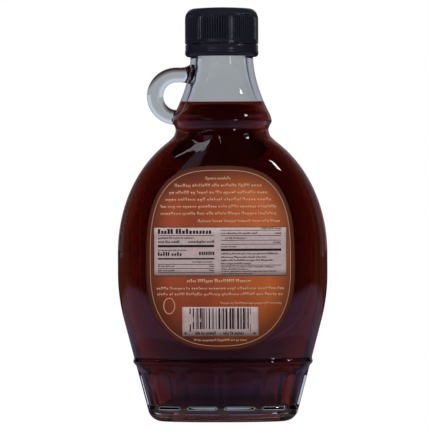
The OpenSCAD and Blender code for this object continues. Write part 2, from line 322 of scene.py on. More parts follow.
def raise_rings(name, rings, sides):
    """A closed solid: a disc extruded from ring to ring, each (height, half width, half depth)."""
    deselect()
    height, wide, deep = rings[0]
    bpy.ops.mesh.primitive_circle_add(vertices=sides, radius=1, fill_type="NGON", location=(0, 0, 0))
    piece = bpy.context.object
    piece.name = name
    piece.data.name = name
    bpy.ops.object.mode_set(mode="EDIT")
    bpy.ops.transform.resize(value=(wide, deep, 1), center_override=(0, 0, 0))
    bpy.ops.transform.translate(value=(0, 0, height))
    for next_height, next_wide, next_deep in rings[1:]:
        bpy.ops.mesh.extrude_region_move(
            TRANSFORM_OT_translate={"value": (0, 0, next_height - height)}
        )
        bpy.ops.transform.resize(
            value=(next_wide / wide, next_deep / deep, 1), center_override=(0, 0, next_height)
        )
        height, wide, deep = next_height, next_wide, next_deep
    face_outward(piece)
    return piece


def raise_oval(name, rings, sides, outline, shape):
    """Rings raised into a solid, each moved from its plain ellipse to where shape puts it."""
    piece = raise_rings(name, rings, sides)
    for vertex in piece.data.vertices:
        height, wide, deep = rings[vertex.index // sides]
        turn = math.degrees(math.atan2(vertex.co.x / wide, -vertex.co.y / deep)) % 360
        vertex.co = shape(turn, wide, deep, height, outline)
    return piece


def oval_shape(turn, wide, deep, height, outline):
    x, y = on_oval(turn, wide, deep, outline.squareness(height))
    return x, y, height


def face_outward(piece):
    """Turns every face of a closed piece outward."""
    activate(piece)
    bpy.ops.object.mode_set(mode="EDIT")
    bpy.ops.mesh.select_all(action="SELECT")
    bpy.ops.mesh.normals_make_consistent(inside=False)
    bpy.ops.object.mode_set(mode="OBJECT")


def cut(piece, tool, operation):
    """Joins or cuts the piece with the tool, which is then removed."""
    activate(piece)
    boolean = piece.modifiers.new("Cut", "BOOLEAN")
    boolean.operation = operation
    boolean.solver = "EXACT"
    boolean.object = tool
    bpy.ops.object.modifier_apply(modifier=boolean.name)
    bpy.data.objects.remove(tool)


def settle(piece):
    """Applies the piece's place, so that its object sits at the origin, and shades it smooth."""
    activate(piece)
    bpy.ops.object.transform_apply(location=True, rotation=True, scale=True)
    bpy.ops.object.shade_smooth()


def fit_out(piece, material, slot_name, *nodes):
    """Gives the piece its material, makes it ride on the jug and lets it stand for its CAD nodes."""
    piece.data.materials.clear()
    piece.data.materials.append(material)
    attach(piece, "root")
    if nodes:
        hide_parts(*nodes)


# ---- Materials -----------------------------------------------------------------------------

# Painted shade: the dark brown that stands for the shade seen through the jug's foot.
FOOT_SHADE_BROWN = (0.055, 0.028, 0.022)


def darker(shade, left):
    """The colour with only that share of it left."""
    return tuple(c * left for c in shade)


class NodeTree:
    """A node tree, with a short way to add nodes. Each step takes and gives a node's output."""

    def __init__(self, tree):
        self.tree = tree

    def add(self, kind, **values):
        """A node of that kind. A value named after a socket sets it, and any other sets the node itself."""
        node = self.tree.nodes.new(kind)
        for key, value in values.items():
            socket = node.inputs.get(key.replace("_", " "))
            if socket is not None:
                socket.default_value = value
            else:
                setattr(node, key, value)
        return node

    def mapped(self, stretch):
        """The place on the piece, in metres, with each direction stretched."""
        mapping = self.add("ShaderNodeMapping", Scale=stretch)
        place = self.add("ShaderNodeTexCoord").outputs["Object"]
        self.tree.links.new(place, mapping.inputs["Vector"])
        return mapping.outputs["Vector"]

    def parts(self, kind="Object"):
        """The outputs X, Y and Z of the place on the piece."""
        parts = self.add("ShaderNodeSeparateXYZ")
        self.tree.links.new(self.add("ShaderNodeTexCoord").outputs[kind], parts.inputs["Vector"])
        return parts.outputs

    def noise(self, scale, detail=3.0, roughness=0.5, stretch=(1, 1, 1)):
        """Noise with features about 1 / scale metres apart."""
        noise = self.add("ShaderNodeTexNoise", Scale=scale, Detail=detail, Roughness=roughness)
        self.tree.links.new(self.mapped(stretch), noise.inputs["Vector"])
        return noise.outputs["Fac"]

    def distance(self, stretch=(1, 1, 1)):
        """How far a place is from the origin, once its directions are stretched."""
        distance = self.add("ShaderNodeVectorMath", operation="LENGTH")
        self.tree.links.new(self.mapped(stretch), distance.inputs[0])
        return distance.outputs["Value"]

    def attribute(self, name):
        return self.add("ShaderNodeAttribute", attribute_name=name).outputs["Fac"]

    def ramp(self, source, *stops):
        """A colour ramp through stops of (position, colour), where a plain number is a grey."""
        ramp = self.add("ShaderNodeValToRGB")
        elements = ramp.color_ramp.elements
        while len(elements) < len(stops):
            elements.new(0.5)
        for element, (position, shade) in zip(elements, stops):
            element.position = position
            element.color = (*(shade if isinstance(shade, tuple) else (shade,) * 3), 1)
        self.tree.links.new(source, ramp.inputs["Fac"])
        return ramp.outputs["Color"]

    def span(self, source, low, high, **values):
        """The value as a share of the way from low to high."""
        span = self.add("ShaderNodeMapRange", From_Min=low, From_Max=high, **values)
        self.tree.links.new(source, span.inputs["Value"])
        return span.outputs["Result"]

    def mix(self, factor, first, second, how="MIX"):
        """Mixes two colours. Each of the three is an output or a plain value."""
        mix = self.add("ShaderNodeMix", data_type="RGBA", blend_type=how)
        for socket, value in ((0, factor), (6, first), (7, second)):
            if isinstance(value, bpy.types.NodeSocket):
                self.tree.links.new(value, mix.inputs[socket])
            else:
                mix.inputs[socket].default_value = (*value, 1) if socket else value
        return mix.outputs[2]

    def multiply(self, first, second):
        return self.mix(1.0, first, second, "MULTIPLY")

    def calculate(self, operation, first, second):
        """The result of the operation on two outputs, or on an output and a plain number."""
        node = self.add("ShaderNodeMath", operation=operation)
        self.tree.links.new(first, node.inputs[0])
        if isinstance(second, bpy.types.NodeSocket):
            self.tree.links.new(second, node.inputs[1])
        else:
            node.inputs[1].default_value = second
        return node.outputs[0]

    def thrown_back(self, most, least=0):
        """1 for light thrown back by a surface, once it has passed at least and at most so many others."""
        path = self.add("ShaderNodeLightPath").outputs
        result = self.calculate("GREATER_THAN", path["Glossy Depth"], 0.5)
        for operation, limit in (("GREATER_THAN", least - 0.5), ("LESS_THAN", most + 0.5)):
            test = self.calculate(operation, path["Transmission Depth"], limit)
            result = self.calculate("MULTIPLY", result, test)
        return result

    def white_to_camera(self, shade):
        seen = self.add("ShaderNodeLightPath").outputs["Is Camera Ray"]
        return self.mix(seen, shade, (1, 1, 1))


class MaterialNodes(NodeTree):
    """The nodes of a material, round its one shader."""

    def __init__(self, name):
        self.material = bpy.data.materials.new(name)
        self.material.use_nodes = True
        super().__init__(self.material.node_tree)
        self.tree.nodes.clear()
        self.output = self.add("ShaderNodeOutputMaterial")
        self.shader = self.add("ShaderNodeBsdfPrincipled")
        self.tree.links.new(self.shader.outputs["BSDF"], self.output.inputs["Surface"])

    def set(self, **values):
        """Sets the shader's own sockets."""
        for key, value in values.items():
            self.shader.inputs[key.replace("_", " ")].default_value = value

    def lead(self, source, into):
        """Leads an output to one of the shader's sockets."""
        self.tree.links.new(source, self.shader.inputs[into])

    def bump(self, source, strength, distance):
        bump = self.add("ShaderNodeBump", Strength=strength, Distance=distance)
        self.tree.links.new(source, bump.inputs["Height"])
        self.lead(bump.outputs["Normal"], "Normal")

    def absorb(self, shade, density):
        """Light is taken up on its way through the solid."""
        volume = self.add("ShaderNodeVolumeAbsorption", Color=(*shade, 1), Density=density)
        self.tree.links.new(volume.outputs["Volume"], self.output.inputs["Volume"])

    def glow(self, shade):
        """Shows a colour by its own light alone, with no gloss and no shade on it."""
        self.lead(shade, "Emission Color")
        self.set(Emission_Strength=1.0, Base_Color=(0, 0, 0, 1), Specular_IOR_Level=0.0)


def glass_material(shade):
    nodes = MaterialNodes("clear_glass")
    nodes.set(Base_Color=(1, 1, 1, 1), Roughness=0.0, IOR=1.5, Transmission_Weight=1.0)
    nodes.absorb(shade, 60)
    nodes.bump(nodes.noise(55, detail=1.0, stretch=(1, 1, 0.45)), 0.06, 0.0006)
    return nodes.material


def syrup_material(shade):
    """Dark where it is deep and amber where it is thin. The glass in front of it gives the shine.

    Above the foot it has a faint red glow of its own where its surface turns away. The glow stands for
    the light from behind that the thin syrup lets through at its outline.
    """
    nodes = MaterialNodes("dark_syrup")
    nodes.set(Base_Color=(1, 1, 1, 1), Roughness=0.0, IOR=1.49, Transmission_Weight=1.0)
    nodes.set(Specular_Tint=(0, 0, 0, 1))
    nodes.absorb(shade, 260)
    edge = nodes.add("ShaderNodeLayerWeight", Blend=0.5).outputs["Facing"]
    nodes.lead(nodes.ramp(edge, (0.15, 0), (0.3, (0.05, 0.008, 0.003))), "Emission Color")
    nodes.lead(nodes.span(nodes.parts()["Z"], 28 * MM, 50 * MM), "Emission Strength")
    return nodes.material


def cap_material(shade):
    """Black plastic, with painted shade that is darkest in the grooves between the ribs, so that the ribs
    stand out.
    """
    nodes = MaterialNodes("black_plastic")
    nodes.set(Roughness=0.22, IOR=1.5)
    grain = nodes.noise(900, detail=4.0)
    tones = nodes.ramp(grain, (0.3, darker(shade, 0.8)), (0.7, shade))
    # Painted shade: rib_crest 0 in a groove gives the darkest shade, plain parts are a little dark, crests
    # keep the full colour.
    ribs = nodes.ramp(nodes.attribute("rib_crest"), (0.0, 0.35), (0.5, 0.6), (1.0, 1))
    nodes.lead(nodes.multiply(tones, ribs), "Base Color")
    nodes.bump(grain, 0.06, 0.0002)
    return nodes.material


def label_material(colours):
    """A mottled ground that goes from red-brown to orange, inside a pale line and a dark rim."""
    nodes = MaterialNodes("printed_label")
    nodes.set(Roughness=0.45, Specular_IOR_Level=0.2)
    parts = nodes.parts()
    across = nodes.span(parts["X"], LABEL_LOW.x, LABEL_HIGH.x)
    up = nodes.span(parts["Z"], LABEL_LOW.z, LABEL_HIGH.z)
    edge = nodes.attribute("edge_distance")
    deep, light, rim = tuple(colours.label_deep), tuple(colours.label_light), tuple(colours.label_rim)
    half = tuple((a + b) / 2 for a, b in zip(deep, light))
    ground = nodes.ramp(across, (0.0, deep), (0.42, deep), (0.62, half), (1.0, light))
    fall = nodes.ramp(up, (0.0, 0.55), (0.3, 0.85), (0.5, 1), (0.85, 1), (1.0, 0.75))
    blots = nodes.noise(70, roughness=0.6, stretch=(1, 1, 0.6))
    blots = nodes.ramp(blots, (0.3, (0.82, 0.76, 0.72)), (0.7, (1.1, 1.14, 1.16)))
    shadow = nodes.ramp(edge, (0.2, (0.42, 0.44, 0.5)), (0.45, (0.58, 0.6, 0.66)), (0.75, 0.84), (1.0, 1))
    for layer in (fall, blots, shadow):
        ground = nodes.multiply(ground, layer)
    line = darker(colours.print_pale, 0.75)
    border = nodes.ramp(edge, (0.0, darker(rim, 0.6)), (0.08, rim), (0.17, rim), (0.175, line), (1.0, line))
    inside = nodes.calculate("GREATER_THAN", edge, 0.2)
    nodes.lead(nodes.mix(inside, border, ground), "Base Color")
    # The paper has a light of its own, which shows only through at least four surfaces of glass or syrup.
    # It stands for light from behind that real paper lets into the syrup.
    nodes.lead(nodes.ramp(edge, (0.0, (0.66, 0.66, 0.7)), (0.5, 0.5), (1.0, 0.3)), "Emission Color")
    passed = nodes.add("ShaderNodeLightPath").outputs["Transmission Depth"]
    nodes.lead(nodes.calculate("GREATER_THAN", passed, 3.5), "Emission Strength")
    nodes.bump(nodes.noise(1400, detail=2.0), 0.05, 0.0001)
    return nodes.material


def print_material(name, shade):
    nodes = MaterialNodes(name)
    nodes.set(Roughness=0.5, Specular_IOR_Level=0.3)
    fleck = nodes.noise(700, detail=2.0)
    nodes.lead(nodes.ramp(fleck, (0.35, darker(shade, 0.9)), (0.65, shade)), "Base Color")
    return nodes.material


def floor_material():
    """White to the camera. To the glass it is a pale table in a dim room, with painted shade under and near
    the jug and a painted sheen of the lights that makes it brighter at its sides.

    It gives off its own light, so it takes no shadows.
    """
    nodes = MaterialNodes("pale_floor")
    pale, dim, dark = (0.442, 0.299, 0.611), (0.13, 0.078, 0.078), (0.026, 0.026, 0.0312)
    reach = nodes.distance(stretch=(0.42, 1, 1))
    # Painted contact shadow: the table is dim right under the jug, then pale, then dark where the room
    # begins.
    table = nodes.ramp(reach, (0.02, dim), (0.05, pale), (0.24, pale), (0.38, dark))
    distance = nodes.distance()
    aside = nodes.calculate("DIVIDE", nodes.parts()["X"], distance)
    # Painted sheen of the lights on the table, brighter towards its sides.
    lift = nodes.ramp(
        nodes.span(aside, -1, 1),
        (0.05, (0.55, 0.62, 0.5)), (0.25, (0.48, 0.53, 0.45)), (0.36, 0.36),
        (0.6, 0.36), (0.75, (0.52, 0.58, 0.54)), (0.95, (0.55, 0.62, 0.5)),
    )
    table = nodes.multiply(table, lift)
    # Painted shade: what the glass shows through itself is dark brown near the jug, paler further out.
    ground = nodes.ramp(distance, (0.22, FOOT_SHADE_BROWN), (0.4, (0.2, 0.19, 0.2)), (0.8, (0.40, 0.43, 0.45)))
    shade = nodes.mix(nodes.thrown_back(5), ground, table)
    nodes.glow(nodes.white_to_camera(shade))
    return nodes.material


def foot_shade_wall_material():
    # Painted shade: the dark brown that shows through the foot, with a random tone in it.
    nodes = MaterialNodes("painted_foot_shade")
    tone = nodes.noise(30, detail=1.0)
    nodes.glow(nodes.ramp(tone, (0.35, FOOT_SHADE_BROWN), (0.65, (0.12, 0.075, 0.065))))
    return nodes.material


# ---- Glass and syrup -----------------------------------------------------------------------

RING_SIDES = 288
ROD_SIDES = 48
WALL_OVERLAP = 0.08 * MM
SURFACE_DROP = 1.1 * MM
# The climb of the syrup's surface at its edge, as (height, way in from the wall) in millimetres.
SURFACE_EDGE = (
    (1.2, -0.08), (1.1, 0.1), (0.9, 0.5), (0.68, 1.1), (0.45, 2.1), (0.26, 3.4), (0.1, 5.4), (0, 8),
)


def outer_rings(outline):
    """Rings of the outside, from the middle of the hollow base up to the rim."""
    f = outline.f
    stand = f.heel_radius + 3.4 * MM
    wide, deep = outline.half_width(f.heel_radius), outline.half_depth(f.heel_radius)
    hollow = [(stand + 6 * MM, 1), (stand + 3.5 * MM, 0.9), (stand + 1.6 * MM, 0.68), (stand + 0.6 * MM, 0.3)]
    rings = [(f.push_up * up, wide - back, deep - back) for back, up in hollow]
    rings.append((0.0, wide - stand, deep - stand))
    heel = [f.heel_radius * (1 - math.cos(math.radians(t))) for t in steps(0, 90, 12)]
    foot = steps(f.foot_height, f.flute_top, 32)
    top = f.ridge_height - outline.ridge_half
    ridge = [z for z in steps(top, f.ridge_height + outline.ridge_half, 16) if z > f.flute_top]
    body = steps(ridge[-1], outline.shoulder, 24)[1:]
    shoulder = outline.shoulder_heights(30)
    neck = (
        steps(outline.join, outline.groove_at, 6)[1:]
        + steps(outline.groove_at, outline.bead_at, 10)[1:]
        + steps(outline.bead_at, outline.bead_at + 2.4 * MM, 8)[1:]
        + steps(outline.bead_at + 2.4 * MM, outline.neck_top, 24)[1:]
    )
    for z in heel + foot + ridge + body + shoulder + neck:
        rings.append((z, *outline.outside(z)))
    finish = f.finish / 2
    for z, radius in (
        (outline.neck_top + 1.5 * MM, finish),
        (f.rim_height - 0.8 * MM, finish),
        (f.rim_height - 0.25 * MM, finish - 0.25 * MM),
        (f.rim_height, finish - 0.8 * MM),
    ):
        rings.append((z, radius, radius))
    return rings


def inner_heights(outline, top):
    """Heights of the chamber's rings, from its floor up to top."""
    f = outline.f
    corner = [f.floor_height + outline.corner * (1 - math.cos(math.radians(t))) for t in steps(0, 90, 12)]
    body = steps(corner[-1], outline.shoulder, 16)[1:]
    shoulder = outline.shoulder_heights(22)
    neck = steps(outline.join, outline.neck_top, 34)[1:]
    return [z for z in corner + body + shoulder + neck if z < top]


def glass_shape(turn, wide, deep, height, outline):
    """The oval, pressed in where a flute is."""
    x, y, z = oval_shape(turn, wide, deep, height, outline)
    if not outline.f.foot_height < height < outline.f.flute_top:
        return x, y, z
    press = 1 - outline.f.flute_depth * outline.flute(turn, height) / math.hypot(x, y)
    return x * press, y * press, z


def handle_path(outline):
    """Places along the ring handle as (middle, turn, thickness), from the neck's wall round to the bead."""
    centre = Vector((-18.9 * MM, 0, 134.8 * MM))
    reach, rise, thickest = 8.85 * MM, 8.8 * MM, outline.f.ring_thickness
    level = thickest * 0.91
    path = [
        (centre + Vector((x * MM, 0, rise)), 90, level * growth)
        for x, growth in ((7, 1.5), (5.6, 1.36), (4.9, 1.22), (4.2, 1.11), (3.2, 1.03), (1.8, 1))
    ]
    for turn in steps(90, 262, 43):
        t = math.radians(turn)
        place = centre + Vector((reach * math.cos(t), 0, rise * math.sin(t)))
        path.append((place, turn, thickest * (1 - 0.09 * math.sin(t) ** 2)))
    last, turn, thickness = path[-1]
    t = math.radians(turn)
    heading = Vector((-math.sin(t), 0, math.cos(t)))
    for step, growth in ((2, 1.05), (5, 1.15)):
        path.append((last + heading * step * MM, turn, thickness * growth))
    return path


def handle_rod(outline):
    """A round rod, extruded along the path of the ring handle."""
    path = handle_path(outline)
    deselect()
    bpy.ops.mesh.primitive_circle_add(vertices=ROD_SIDES, radius=1, fill_type="NGON", location=(0, 0, 0))
    rod = bpy.context.object
    rod.name = "handle_rod"
    bpy.ops.object.mode_set(mode="EDIT")
    for _ in path[1:]:
        bpy.ops.mesh.extrude_region_move(TRANSFORM_OT_translate={"value": (0, 0, MM)})
    bpy.ops.object.mode_set(mode="OBJECT")
    for vertex in rod.data.vertices:
        place, turn, thickness = path[vertex.index // ROD_SIDES]
        t = math.radians(turn)
        out = Vector((math.cos(t), 0, math.sin(t))) * vertex.co.x + Vector((0, vertex.co.y, 0))
        vertex.co = place + out * thickness / 2
    face_outward(rod)
    return rod


class JUG_OT_flask(bpy.types.Operator):
    """Blow the glass flask with its ring handle, and hollow it out"""

    bl_idname = "jug.flask"
    bl_label = "Glass flask"

    def execute(self, context):
        scene = context.scene
        outline = Outline(scene.jug_flask)
        rings = outer_rings(outline)
        flask = raise_oval("flask", rings, RING_SIDES, outline, glass_shape)
        cut(flask, handle_rod(outline), "UNION")
        f = outline.f
        chamber = [(z, *outline.inside(z)) for z in inner_heights(outline, outline.neck_top)]
        bore = f.neck / 2 - f.wall
        chamber += [(outline.neck_top, bore, bore), (f.rim_height + 1 * MM, bore, bore)]
        hollow = raise_oval("hollow", chamber, RING_SIDES, outline, oval_shape)
        cut(flask, hollow, "DIFFERENCE")
        settle(flask)
        fit_out(flask, glass_material(tuple(scene.jug_colours.glass)), "glass", "bottle")
        return {"FINISHED"}


class JUG_OT_syrup(bpy.types.Operator):
    """Pour the syrup, which reaches just into the wall and climbs a little at its edge"""

    bl_idname = "jug.syrup"
    bl_label = "Syrup"

    def execute(self, context):
        scene = context.scene
        outline = Outline(scene.jug_flask)
        f = outline.f
        level = f.fill_height - SURFACE_DROP
        rings = [
            (z - (WALL_OVERLAP if i == 0 else 0), *outline.inside(max(z, f.floor_height), -WALL_OVERLAP))
            for i, z in enumerate(inner_heights(outline, level))
        ]
        for up, back in SURFACE_EDGE:
            bore = outline.bore(level + up * MM)
            rings.append((level + up * MM, bore - back * MM, bore - back * MM))
        syrup = raise_oval("syrup_fill", rings, RING_SIDES // 2, outline, oval_shape)
        settle(syrup)
        fit_out(syrup, syrup_material(tuple(scene.jug_colours.syrup)), "syrup", "syrup")
        return {"FINISHED"}


# ---- Closure -------------------------------------------------------------------------------

# Painted shade for plastic without ribs, on the scale where 0 is a groove and 1 a rib crest.
PLAIN_RIB_SHADE = 0.6
SPOTS_PER_RIB = 4
BAND_SIDES = 144


def mark_rib_shade(piece):
    """Gives each vertex a rib_crest value for the plastic's painted shade, which is 0 in a groove and 1 on a
    rib.
    """
    rib_shade = piece.data.attributes.new("rib_crest", "FLOAT", "POINT").data
    for crest in rib_shade:
        crest.value = PLAIN_RIB_SHADE
    return rib_shade


def finish_plastic(piece, angle, node):
    settle(piece)
    bpy.ops.object.shade_smooth_by_angle(angle=math.radians(angle))
    fit_out(piece, cap_material(tuple(bpy.context.scene.jug_colours.cap)), "cap_plastic", node)


class JUG_OT_cap(bpy.types.Operator):
    """Mould the screw cap with its grip ribs and round crown"""

    bl_idname = "jug.cap"
    bl_label = "Screw cap"

    def execute(self, context):
        closure = context.scene.jug_closure
        radius = closure.diameter / 2
        side = radius - 0.04 * MM
        low, high = CAP_LOW.z, CAP_HIGH.z
        skirt = low + 1.5 * MM
        groove_low, crown_low = skirt + 0.3 * MM, high - 5 * MM
        crown_rise, crown_in, dome = 4.5 * MM, 3.6 * MM, 0.5 * MM
        profile = [(low, radius - 1.2 * MM), (low, radius - 0.15 * MM), (low + 0.15 * MM, radius)]
        profile += [(skirt, radius), (skirt + 0.12 * MM, side)]
        profile += [(z, side) for z in steps(groove_low, crown_low, 3)]
        crown = [
            (crown_low + crown_rise * math.sin(t), side - crown_in * (1 - math.cos(t)))
            for t in map(math.radians, steps(0, 90, 9))
        ]
        top = crown[-1][1]
        profile += crown[1:]
        profile += [(high - dome * (1 - s) ** 2, top * (1 - s)) for s in (0.25, 0.5, 0.75, 0.96)]
        rings = [(z, r, r) for z, r in profile]
        sides = closure.ribs * SPOTS_PER_RIB
        cap = raise_rings("screw_cap", rings, sides)
        groove_high = crown[5][0]
        rib_shade = mark_rib_shade(cap)
        for vertex in cap.data.vertices:
            ring, spot = divmod(vertex.index, sides)
            height = rings[ring][0]
            in_groove = spot % SPOTS_PER_RIB in (0, 1)
            # Painted shade: a groove gets 0, the darkest, and a crest gets 1.
            if groove_low <= height <= crown_low:
                rib_shade[vertex.index].value = 0.0 if in_groove else 1.0
            if in_groove and groove_low <= height <= groove_high:
                fade = 1 - smooth(crown_low, groove_high + 0.4 * MM, height)
                press = 1 - closure.rib_depth * fade / rings[ring][1]
                vertex.co.x *= press
                vertex.co.y *= press
        finish_plastic(cap, 32, "cap")
        return {"FINISHED"}


class JUG_OT_band(bpy.types.Operator):
    """Mould the tamper band under the cap"""

    bl_idname = "jug.band"
    bl_label = "Tamper band"

    def execute(self, context):
        low, outer, inner = BAND_LOW.z, BAND_HIGH.x, 14.0 * MM
        height = CAP_LOW.z - low - 0.35 * MM
        profile = [
            (0.6 * MM, inner), (0.12 * MM, outer - 1.25 * MM), (0.0, outer - 1.0 * MM),
            (0.1 * MM, outer - 0.7 * MM), (0.45 * MM, outer - 0.35 * MM), (1.0 * MM, outer - 0.1 * MM),
            (1.6 * MM, outer), (height * 0.44, outer), (height * 0.5, outer - 0.12 * MM),
            (height * 0.56, outer - 0.15 * MM), (height - 0.2 * MM, outer - 0.15 * MM),
            (height, outer - 0.3 * MM), (height, inner),
        ]
        band = raise_rings("tamper_ring", [(low + z, r, r) for z, r in profile], BAND_SIDES)
        hole = inner - 0.2 * MM
        bore = raise_rings("bore", [(low - MM, hole, hole), (low + height + MM, hole, hole)], BAND_SIDES)
        cut(band, bore, "DIFFERENCE")
        mark_rib_shade(band)
        finish_plastic(band, 40, "tamper_band")
        return {"FINISHED"}


# ---- Labels --------------------------------------------------------------------------------

INK_THICKNESS = 0.02 * MM
BAR_MODULES = 95


def label_place(settings, q, s):
    """A place on the label's oval, at share s of the way out to its edge, as x and z."""
    c, d = math.cos(q), math.sin(q)
    e = 2 / (settings.top_squareness if d > 0 else settings.foot_squareness)
    rise = (LABEL_HIGH.z - settings.belt) if d > 0 else (settings.belt - LABEL_LOW.z)
    x = s * settings.width / 2 * math.copysign(abs(c) ** e, c)
    z = settings.belt + s * rise * math.copysign(abs(d) ** e, d)
    return x, z


def label_sheet(name, outline, settings):
    """A thin closed sheet that follows the glass, towards -Y."""
    sides = 160
    spread = [s / 30 for s in range(1, 28)] + [0.93, 0.95, 0.96, 0.97, 0.98, 0.99, 1.0]
    rings = [(0.0, s, s) for s in spread] + [(1.0, s, s) for s in reversed(spread)]
    sheet = raise_rings(name, rings, sides)
    edge = sheet.data.attributes.new("edge_distance", "FLOAT", "POINT")
    for vertex in sheet.data.vertices:
        face, s = rings[vertex.index // sides][:2]
        q = math.atan2(vertex.co.y, vertex.co.x)
        x, z = label_place(settings, q, s)
        away_x, away_z = label_place(settings, q, 1.0)
        lift = settings.lift if face > 0.5 else 0.02 * MM
        vertex.co = (x, -outline.face_depth(x, z) - lift, z)
        edge.data[vertex.index].value = math.hypot(away_x - x, away_z - z) / (10 * MM)
    face_outward(sheet)
    return sheet


def strip(columns):
    """Flat upright marks side by side in the x-z plane, each given as (left, right, low, high)."""
    edges = [x for column in columns for x in column[:2]]
    bpy.ops.mesh.primitive_grid_add(x_subdivisions=len(edges) - 1, y_subdivisions=1, size=1)
    marks = bpy.context.object
    for vertex in marks.data.vertices:
        upper, edge = divmod(vertex.index, len(edges))
        vertex.co = (edges[edge], 0, columns[edge // 2][2 + upper])
    gap = marks.data.attributes.new("gap", "BOOLEAN", "FACE")
    for face in marks.data.polygons:
        gap.data[face.index].value = face.index % 2 == 1
    return marks


def patch(left, right, low, high):
    """A flat field in the x-z plane, with enough faces to follow the glass."""
    across, up = max(1, round((right - left) / (1.5 * MM))), max(1, round((high - low) / (3 * MM)))
    bpy.ops.mesh.primitive_grid_add(x_subdivisions=across, y_subdivisions=up, size=1)
    field = bpy.context.object
    for vertex in field.data.vertices:
        row, column = divmod(vertex.index, across + 1)
        vertex.co = (left + (right - left) * column / across, 0, low + (high - low) * row / up)
    field.data.attributes.new("gap", "BOOLEAN", "FACE")
    return field


def hoop(middle_x, middle_z, half_width, half_height, thickness):
    """A flat oval ring in the x-z plane."""
    sides = 48
    bpy.ops.mesh.primitive_circle_add(vertices=sides, radius=1)
    ring = bpy.context.object
    bpy.ops.object.mode_set(mode="EDIT")
    bpy.ops.mesh.extrude_region_move(TRANSFORM_OT_translate={"value": (0, 0, MM)})
    bpy.ops.object.mode_set(mode="OBJECT")
    for vertex in ring.data.vertices:
        grow = 0 if vertex.index < sides else thickness
        vertex.co = (
            middle_x + vertex.co.x * (half_width + grow), 0, middle_z + vertex.co.y * (half_height + grow)
        )
    ring.data.attributes.new("gap", "BOOLEAN", "FACE")
    if ring.data.polygons[0].normal.y > 0:
        activate(ring)
        bpy.ops.object.mode_set(mode="EDIT")
        bpy.ops.mesh.select_all(action="SELECT")
        bpy.ops.mesh.flip_normals()
        bpy.ops.object.mode_set(mode="OBJECT")
    return ring


def small_print(chance, left, right, middle, height, weight=0.2):
    """A line of made-up small print: words of uprights and blocks that fill the line from left to right."""
    size = height
    columns, at = [], 0.0
    while at < right - left:
        for _ in range(chance.randint(2, 8)):
            kind = chance.random()
            tall = 0.5 if kind < 0.3 else 0.22
            deep = 0.5 if 0.3 < kind < 0.4 else 0.3
            strokes = (weight,) if kind < 0.15 else (weight, weight) if kind < 0.7 else (0.42,)
            for wide in strokes:
                columns.append((at, at + wide * size, middle - deep * size, middle + tall * size))
                at += (wide + 0.13) * size
            at += 0.05 * size
        at += 0.3 * size
    scale = (right - left) / columns[-1][1]
    return strip([(left + a * scale, left + b * scale, low, high) for a, b, low, high in columns])


def bars(chance, left, right, low, high):
    """A made-up bar code, whose outer bars reach lower."""
    module = (right - left) / BAR_MODULES
    columns, at = [], 0
    while at < BAR_MODULES:
        wide = min(chance.choice((1, 1, 2, 2, 3)), BAR_MODULES - at)
        guard = at < 4 or at > 90 or 45 < at < 50
        foot = low - (0.9 * MM if guard else 0)
        columns.append((left + at * module, left + (at + wide) * module, foot, high))
        at += wide + chance.choice((1, 1, 2, 3))
    return strip(columns)


def print_on(name, marks, outline, lift):
    """Joins flat marks into one piece, drops the gaps and lays the marks on the glass as thin pads."""
    deselect()
    for mark in marks:
        mark.select_set(True)
    bpy.context.view_layer.objects.active = marks[0]
    bpy.ops.object.join()
    piece = bpy.context.object
    piece.name = name
    bpy.ops.object.mode_set(mode="EDIT")
    bpy.ops.mesh.select_mode(type="FACE")
    bpy.ops.mesh.select_all(action="DESELECT")
    bpy.ops.object.mode_set(mode="OBJECT")
    gap = piece.data.attributes["gap"]
    for face in piece.data.polygons:
        face.select = gap.data[face.index].value
    bpy.ops.object.mode_set(mode="EDIT")
    bpy.ops.mesh.delete(type="FACE")
    bpy.ops.mesh.select_mode(type="VERT")
    bpy.ops.object.mode_set(mode="OBJECT")
    piece.data.attributes.remove(piece.data.attributes["gap"])
    for vertex in piece.data.vertices:
        vertex.co.y = -outline.face_depth(vertex.co.x, vertex.co.z) - lift
    pad = piece.modifiers.new("Pad", "SOLIDIFY")
    pad.thickness = INK_THICKNESS
    pad.offset = 1
    bpy.ops.object.modifier_apply(modifier=pad.name)
    return piece


